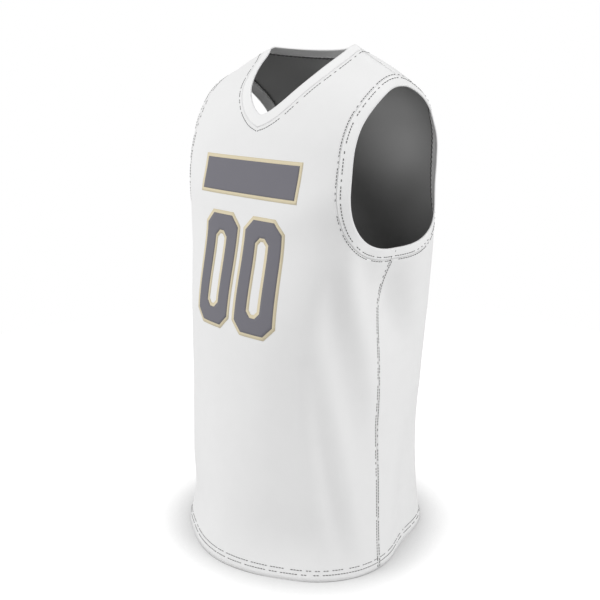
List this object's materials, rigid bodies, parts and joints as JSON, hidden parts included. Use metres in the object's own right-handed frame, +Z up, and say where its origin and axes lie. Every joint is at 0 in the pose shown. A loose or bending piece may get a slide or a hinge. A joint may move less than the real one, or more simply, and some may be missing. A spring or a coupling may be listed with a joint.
{
  "type": "sleeveless volleyball jersey",
  "caption": "Sleeveless V-neck sports jersey, filled out with no wearer, with neck and arm bands, turned hem and plain block figures",
  "frame": {"origin": "the point midway between the two shoulders, level with the neck points, where the wearer's shoulders hold the jersey", "axes": "+Z up, the front faces -Y, +X is the wearer's left"},
  "size_m": [0.3751, 0.3851, 0.7482],
  "materials": {
    "mesh_cloth": "white polyester knit, matt, dark grey on its inner face",
    "band_cloth": "white folded knit band, matt",
    "edging_twill": "pale sand twill, matt",
    "face_twill": "mid grey twill, matt"
  },
  "bodies": {
    "root": {"front_panel": "mesh_cloth", "back_panel": "mesh_cloth", "neckband": "band_cloth", "armband_left": "band_cloth", "armband_right": "band_cloth", "bar_edging": "edging_twill", "bar_face": "face_twill", "figure_left_edging": "edging_twill", "figure_left_face": "face_twill", "figure_right_edging": "edging_twill", "figure_right_face": "face_twill"}
  },
  "joints": []
}
